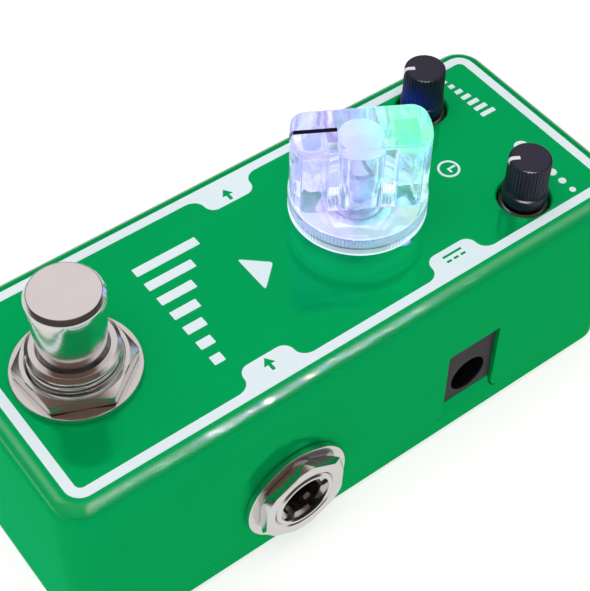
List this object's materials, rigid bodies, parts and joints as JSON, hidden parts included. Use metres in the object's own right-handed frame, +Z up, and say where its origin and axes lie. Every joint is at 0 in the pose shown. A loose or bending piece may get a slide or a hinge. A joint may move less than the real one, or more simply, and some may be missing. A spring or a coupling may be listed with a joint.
{
  "type": "delay pedal",
  "caption": "Compact delay effects pedal in a green die-cast case, with a sprung metal footswitch, a lit clear bar knob, small fluted knobs and side sockets.",
  "frame": {"origin": "on the floor, under the middle of the case", "axes": "+Z up, +Y to the rear end with the small knobs, +X to the side with the input and power sockets"},
  "size_m": [0.0436, 0.0936, 0.0494],
  "materials": {
    "case_paint": "gloss",
    "screw_steel": "satin",
    "pad_rubber": "matte",
    "polished_metal": "polished",
    "plated_steel": "bright",
    "switch_plastic": "satin",
    "stem_plastic": "satin",
    "spring_steel": "bright",
    "contact_brass": "bright",
    "board_laminate": "satin",
    "ribbon_plastic": "satin",
    "socket_plastic": "matte",
    "clear_plastic": "clear",
    "lamp_plastic": "clear",
    "shaft_metal": "satin",
    "pot_plastic": "satin",
    "knob_plastic": "satin",
    "small_shaft_plastic": "satin",
    "chip_plastic": "matte",
    "can_metal": "satin"
  },
  "bodies": {
    "case": {"enclosure": "case_paint", "base_tray": "case_paint", "base_screws": "screw_steel", "base_pad": "pad_rubber", "footswitch_spring": "spring_steel", "footswitch_bush": "plated_steel", "footswitch_nut": "plated_steel", "footswitch_washer": "plated_steel", "footswitch_inner_nut": "plated_steel", "footswitch_body": "switch_plastic", "footswitch_lugs": "contact_brass", "switch_board": "board_laminate", "switch_ribbon": "ribbon_plastic", "power_jack_body": "socket_plastic", "power_jack_pin": "plated_steel", "power_jack_contact": "contact_brass", "time_pot_body": "pot_plastic", "time_pot_bush": "plated_steel", "time_pot_nut": "plated_steel", "time_pot_washer": "plated_steel", "time_lights": "lamp_plastic", "circuit_board": "board_laminate", "circuit_chips": "chip_plastic", "circuit_capacitors": "can_metal", "input_jack_bush": "plated_steel", "input_jack_nut": "plated_steel", "input_jack_washer": "plated_steel", "input_jack_body": "socket_plastic", "input_jack_contacts": "contact_brass", "output_jack_bush": "plated_steel", "output_jack_nut": "plated_steel", "output_jack_washer": "plated_steel", "output_jack_body": "socket_plastic", "output_jack_contacts": "contact_brass", "level_pot_body": "pot_plastic", "level_pot_bush": "plated_steel", "repeat_pot_body": "pot_plastic", "repeat_pot_bush": "plated_steel"},
    "footswitch": {"footswitch_cap": "polished_metal", "footswitch_plunger": "stem_plastic"},
    "time_control": {"time_knob": "clear_plastic", "time_shaft": "shaft_metal"},
    "level_control": {"level_knob": "knob_plastic", "level_shaft": "small_shaft_plastic"},
    "repeat_control": {"repeat_knob": "knob_plastic", "repeat_shaft": "small_shaft_plastic"}
  },
  "joints": [
    {"name": "footswitch_press", "type": "slide", "parent": "case", "child": "footswitch", "axis": [0, 0, 1], "range_m": [-0.0018, 0], "stiffness_N_per_m": 4000, "springref_m": 0.0015, "deforming": ["footswitch_spring"]},
    {"name": "time_turn", "type": "hinge", "parent": "case", "child": "time_control", "pos_m": [0, 0.0108, 0.0329], "axis": [0, 0, 1], "range_deg": [-300, 0]},
    {"name": "level_turn", "type": "hinge", "parent": "case", "child": "level_control", "pos_m": [-0.0111, 0.0317, 0.0329], "axis": [0, 0, 1], "range_deg": [-300, 0]},
    {"name": "repeat_turn", "type": "hinge", "parent": "case", "child": "repeat_control", "pos_m": [0.0111, 0.0317, 0.0329], "axis": [0, 0, 1], "range_deg": [-300, 0]}
  ]
}
